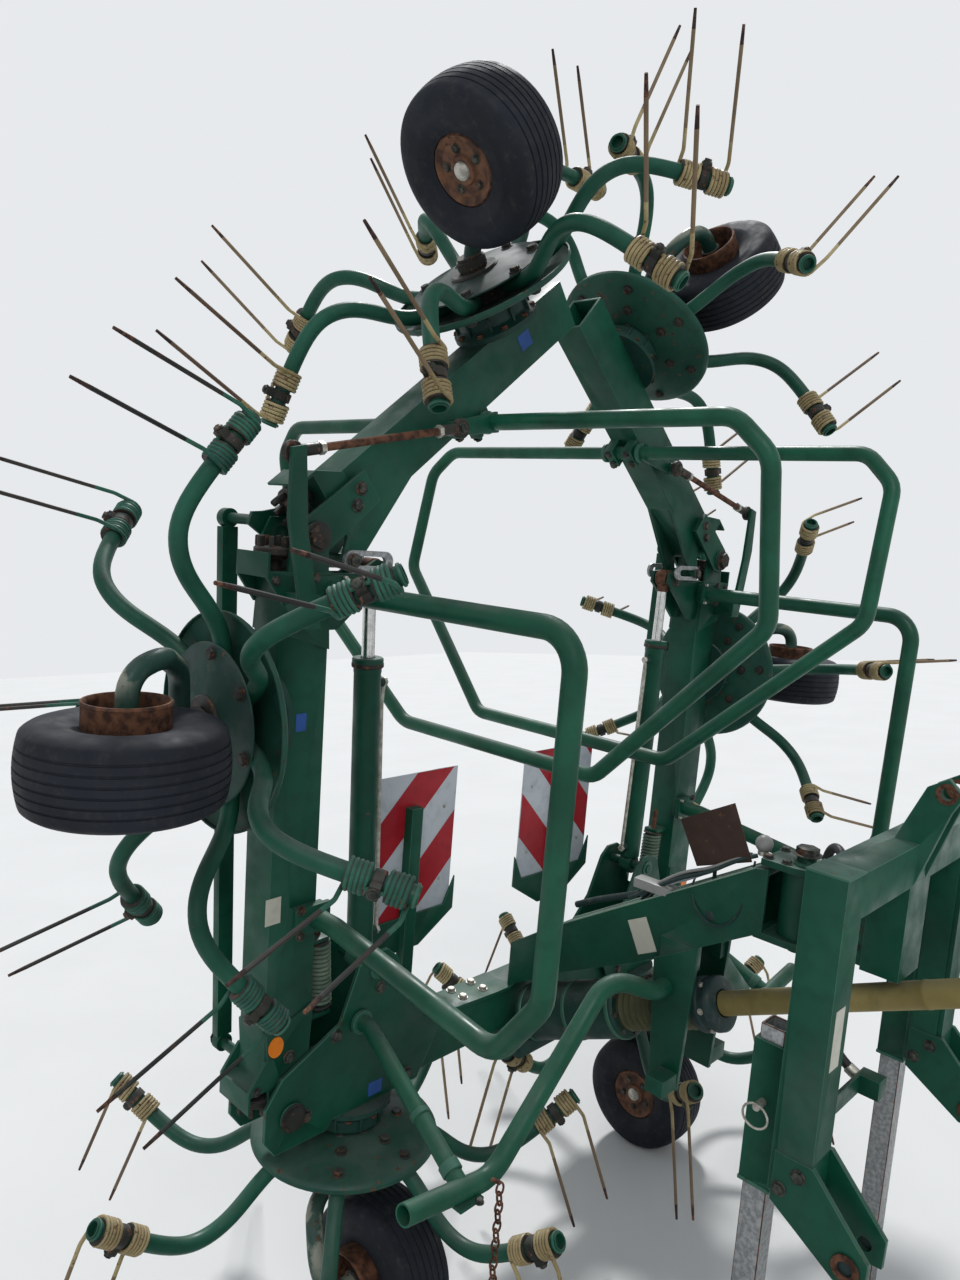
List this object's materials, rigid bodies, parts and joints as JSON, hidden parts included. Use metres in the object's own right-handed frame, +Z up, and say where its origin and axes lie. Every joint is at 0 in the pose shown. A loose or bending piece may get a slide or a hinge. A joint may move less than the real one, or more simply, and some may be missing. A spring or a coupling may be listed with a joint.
{
  "type": "mounted rotary hay tedder",
  "caption": "Tractor-mounted rotary hay tedder with wings folded up for transport, sprung tines on turning discs, support wheels, guards and a swivelling headstock on stands.",
  "frame": {"origin": "on the ground, under the middle of the machine's outline", "axes": "+X to the machine's left as seen from the tractor looking back, the far side in the picture; -Y forward to the tractor; +Z up"},
  "size_m": [2.97, 2.3601, 3.3478],
  "materials": {
    "green_paint": "satin",
    "dark_paint": "satin",
    "dark_plastic": "matt",
    "board_paint": "satin",
    "rubber_hose": "matt",
    "galvanised": "matt",
    "chromed_steel": "polished",
    "tyre_rubber": "matt",
    "rusty_rim": "rusty"
  },
  "bodies": {
    "frame": {"centre_frame": "green_paint", "centre_drive": "dark_paint", "boom": "green_paint", "pto_guard": "dark_plastic", "board_posts": "green_paint", "warning_boards": "board_paint", "far_centre_guard": "green_paint", "near_centre_guard": "green_paint"},
    "headstock": {"headstock": "green_paint", "hose": "rubber_hose"},
    "far_stand": {"far_stand": "galvanised"},
    "far_inner_wing": {"far_inner_beam": "green_paint", "far_inner_drive": "dark_paint", "far_inner_guard": "green_paint"},
    "far_outer_wing": {"far_outer_beam": "green_paint", "far_outer_drive": "dark_paint"},
    "far_guard_bow": {"far_guard_bow": "green_paint"},
    "far_guard_link": {"far_guard_link": "green_paint"},
    "far_lift_barrel": {"far_lift_barrel": "green_paint"},
    "far_lift_rod": {"far_lift_rod": "chromed_steel"},
    "far_fold_rod": {"far_fold_rod": "green_paint"},
    "near_stand": {"near_stand": "galvanised"},
    "near_inner_wing": {"near_inner_beam": "green_paint", "near_inner_drive": "dark_paint", "near_inner_guard": "green_paint"},
    "near_outer_wing": {"near_outer_beam": "green_paint", "near_outer_drive": "dark_paint"},
    "near_guard_bow": {"near_guard_bow": "green_paint"},
    "near_guard_link": {"near_guard_link": "green_paint"},
    "near_lift_barrel": {"near_lift_barrel": "green_paint"},
    "near_lift_rod": {"near_lift_rod": "chromed_steel"},
    "near_fold_rod": {"near_fold_rod": "green_paint"},
    "near_outer_rotor": {"near_outer_rotor": "green_paint"},
    "near_outer_wheel": {"near_outer_tyre": "tyre_rubber", "near_outer_rim": "rusty_rim"},
    "near_inner_rotor": {"near_inner_rotor": "green_paint"},
    "near_inner_wheel": {"near_inner_tyre": "tyre_rubber", "near_inner_rim": "rusty_rim"},
    "near_centre_rotor": {"near_centre_rotor": "green_paint"},
    "near_centre_wheel": {"near_centre_tyre": "tyre_rubber", "near_centre_rim": "rusty_rim"},
    "far_centre_rotor": {"far_centre_rotor": "green_paint"},
    "far_centre_wheel": {"far_centre_tyre": "tyre_rubber", "far_centre_rim": "rusty_rim"},
    "far_inner_rotor": {"far_inner_rotor": "green_paint"},
    "far_inner_wheel": {"far_inner_tyre": "tyre_rubber", "far_inner_rim": "rusty_rim"},
    "far_outer_rotor": {"far_outer_rotor": "green_paint"},
    "far_outer_wheel": {"far_outer_tyre": "tyre_rubber", "far_outer_rim": "rusty_rim"}
  },
  "joints": [
    {"name": "headstock_swivel", "type": "hinge", "parent": "frame", "child": "headstock", "pos_m": [0, -0.55112, 1.04304], "axis": [0, -0.1305, 0.9914], "range_deg": [-15, 15]},
    {"name": "far_stand_slide", "type": "slide", "parent": "headstock", "child": "far_stand", "axis": [0, -0.1305, 0.9914], "range_m": [0, 0.28]},
    {"name": "far_inner_fold", "type": "hinge", "parent": "frame", "child": "far_inner_wing", "pos_m": [0.83, 0.36942, 0.65487], "axis": [0, 0.9914, 0.1305], "range_deg": [0, 89]},
    {"name": "far_outer_fold", "type": "hinge", "parent": "far_inner_wing", "child": "far_outer_wing", "pos_m": [0.85339, 0.19454, 1.9832], "axis": [0, 0.9914, 0.1305], "range_deg": [0, 51.5]},
    {"name": "far_guard_swing", "type": "hinge", "parent": "far_outer_wing", "child": "far_guard_bow", "pos_m": [0.33997, 0.15436, 2.28845], "axis": [0, 0.9914, 0.1305], "range_deg": [0, 118]},
    {"name": "far_link_swing", "type": "hinge", "parent": "far_inner_wing", "child": "far_guard_link", "pos_m": [0.94634, 0.06549, 2.13607], "axis": [0, 0.9914, 0.1305], "range_deg": [0, 41.44]},
    {"name": "far_lift_swing", "type": "hinge", "parent": "frame", "child": "far_lift_barrel", "pos_m": [0.59, 0.33157, 0.94239], "axis": [0, 0.9914, 0.1305], "range_deg": [0, 90.16]},
    {"name": "far_fold_rod_swing", "type": "hinge", "parent": "frame", "child": "far_fold_rod", "pos_m": [0.855, 0.54801, 0.75403], "axis": [0, 0.9914, 0.1305], "range_deg": [0, 93.37]},
    {"name": "far_lift_slide", "type": "slide", "parent": "far_lift_barrel", "child": "far_lift_rod", "axis": [0.0449, -0.1304, 0.9904], "range_m": [0, 0.52712]},
    {"name": "near_stand_slide", "type": "slide", "parent": "headstock", "child": "near_stand", "axis": [0, -0.1305, 0.9914], "range_m": [0, 0.28]},
    {"name": "near_inner_fold", "type": "hinge", "parent": "frame", "child": "near_inner_wing", "pos_m": [-0.83, 0.36942, 0.65487], "axis": [0, -0.9914, -0.1305], "range_deg": [0, 89]},
    {"name": "near_outer_fold", "type": "hinge", "parent": "near_inner_wing", "child": "near_outer_wing", "pos_m": [-0.85339, 0.19454, 1.9832], "axis": [0, -0.9914, -0.1305], "range_deg": [0, 51.5]},
    {"name": "near_guard_swing", "type": "hinge", "parent": "near_outer_wing", "child": "near_guard_bow", "pos_m": [-0.33997, 0.15436, 2.28845], "axis": [0, -0.9914, -0.1305], "range_deg": [0, 118]},
    {"name": "near_link_swing", "type": "hinge", "parent": "near_inner_wing", "child": "near_guard_link", "pos_m": [-0.94634, 0.06549, 2.13607], "axis": [0, -0.9914, -0.1305], "range_deg": [0, 41.44]},
    {"name": "near_lift_swing", "type": "hinge", "parent": "frame", "child": "near_lift_barrel", "pos_m": [-0.59, 0.33157, 0.94239], "axis": [0, -0.9914, -0.1305], "range_deg": [0, 90.16]},
    {"name": "near_fold_rod_swing", "type": "hinge", "parent": "frame", "child": "near_fold_rod", "pos_m": [-0.855, 0.54801, 0.75403], "axis": [0, -0.9914, -0.1305], "range_deg": [0, 93.37]},
    {"name": "near_lift_slide", "type": "slide", "parent": "near_lift_barrel", "child": "near_lift_rod", "axis": [-0.0449, -0.1304, 0.9904], "range_m": [0, 0.52712]},
    {"name": "near_outer_rotor_turn", "type": "hinge", "parent": "near_outer_wing", "child": "near_outer_rotor", "pos_m": [-0.32378, 0.11219, 2.60877], "axis": [0.6361, 0.1007, -0.765], "continuous": true},
    {"name": "near_outer_wheel_turn", "type": "hinge", "parent": "near_outer_wing", "child": "near_outer_wheel", "pos_m": [-0.52718, -0.07499, 2.81239], "axis": [-0.7716, 0.083, -0.6306], "continuous": true},
    {"name": "near_inner_rotor_turn", "type": "hinge", "parent": "near_inner_wing", "child": "near_inner_rotor", "pos_m": [-0.99638, 0.24709, 1.58409], "axis": [0.9998, -0.0023, 0.0173], "continuous": true},
    {"name": "near_inner_wheel_turn", "type": "hinge", "parent": "near_inner_wing", "child": "near_inner_wheel", "pos_m": [-1.30011, 0.09184, 1.54519], "axis": [0.0175, 0.1305, -0.9913], "continuous": true},
    {"name": "near_centre_rotor_turn", "type": "hinge", "parent": "frame", "child": "near_centre_rotor", "pos_m": [-0.6, 0.389, 0.50615], "axis": [0, -0.1305, 0.9914], "continuous": true},
    {"name": "near_centre_wheel_turn", "type": "hinge", "parent": "frame", "child": "near_centre_wheel", "pos_m": [-0.587, 0.27104, 0.184], "axis": [1, 0, 0], "continuous": true},
    {"name": "far_centre_rotor_turn", "type": "hinge", "parent": "frame", "child": "far_centre_rotor", "pos_m": [0.6, 0.389, 0.50615], "axis": [0, -0.1305, 0.9914], "continuous": true},
    {"name": "far_centre_wheel_turn", "type": "hinge", "parent": "frame", "child": "far_centre_wheel", "pos_m": [0.587, 0.27104, 0.184], "axis": [1, 0, 0], "continuous": true},
    {"name": "far_inner_rotor_turn", "type": "hinge", "parent": "far_inner_wing", "child": "far_inner_rotor", "pos_m": [0.99638, 0.24709, 1.58409], "axis": [-0.9998, -0.0023, 0.0173], "continuous": true},
    {"name": "far_inner_wheel_turn", "type": "hinge", "parent": "far_inner_wing", "child": "far_inner_wheel", "pos_m": [1.30011, 0.09184, 1.54519], "axis": [0.0175, -0.1305, 0.9913], "continuous": true},
    {"name": "far_outer_rotor_turn", "type": "hinge", "parent": "far_outer_wing", "child": "far_outer_rotor", "pos_m": [0.32378, 0.11219, 2.60877], "axis": [-0.6361, 0.1007, -0.765], "continuous": true},
    {"name": "far_outer_wheel_turn", "type": "hinge", "parent": "far_outer_wing", "child": "far_outer_wheel", "pos_m": [0.52718, -0.07499, 2.81239], "axis": [-0.7716, -0.083, 0.6306], "continuous": true}
  ],
  "couplings": [
    {"joint": "far_guard_swing", "follows": "far_inner_fold", "ratio": 1.3258},
    {"joint": "far_outer_fold", "follows": "far_inner_fold", "ratio": 0.57865},
    {"joint": "far_link_swing", "follows": "far_inner_fold", "ratio": 0.46564},
    {"joint": "far_lift_swing", "follows": "far_inner_fold", "ratio": 1.013},
    {"joint": "far_fold_rod_swing", "follows": "far_inner_fold", "ratio": 1.0491},
    {"joint": "far_lift_slide", "follows": "far_inner_fold", "m_per_rad": 0.33934},
    {"joint": "near_guard_swing", "follows": "near_inner_fold", "ratio": 1.3258},
    {"joint": "near_outer_fold", "follows": "near_inner_fold", "ratio": 0.57865},
    {"joint": "near_link_swing", "follows": "near_inner_fold", "ratio": 0.46564},
    {"joint": "near_lift_swing", "follows": "near_inner_fold", "ratio": 1.013},
    {"joint": "near_fold_rod_swing", "follows": "near_inner_fold", "ratio": 1.0491},
    {"joint": "near_lift_slide", "follows": "near_inner_fold", "m_per_rad": 0.33934},
    {"joint": "near_outer_rotor_turn", "follows": "far_centre_rotor_turn", "ratio": -1},
    {"joint": "near_inner_rotor_turn", "follows": "far_centre_rotor_turn", "ratio": 1},
    {"joint": "near_centre_rotor_turn", "follows": "far_centre_rotor_turn", "ratio": -1},
    {"joint": "far_inner_rotor_turn", "follows": "far_centre_rotor_turn", "ratio": -1},
    {"joint": "far_outer_rotor_turn", "follows": "far_centre_rotor_turn", "ratio": 1}
  ]
}
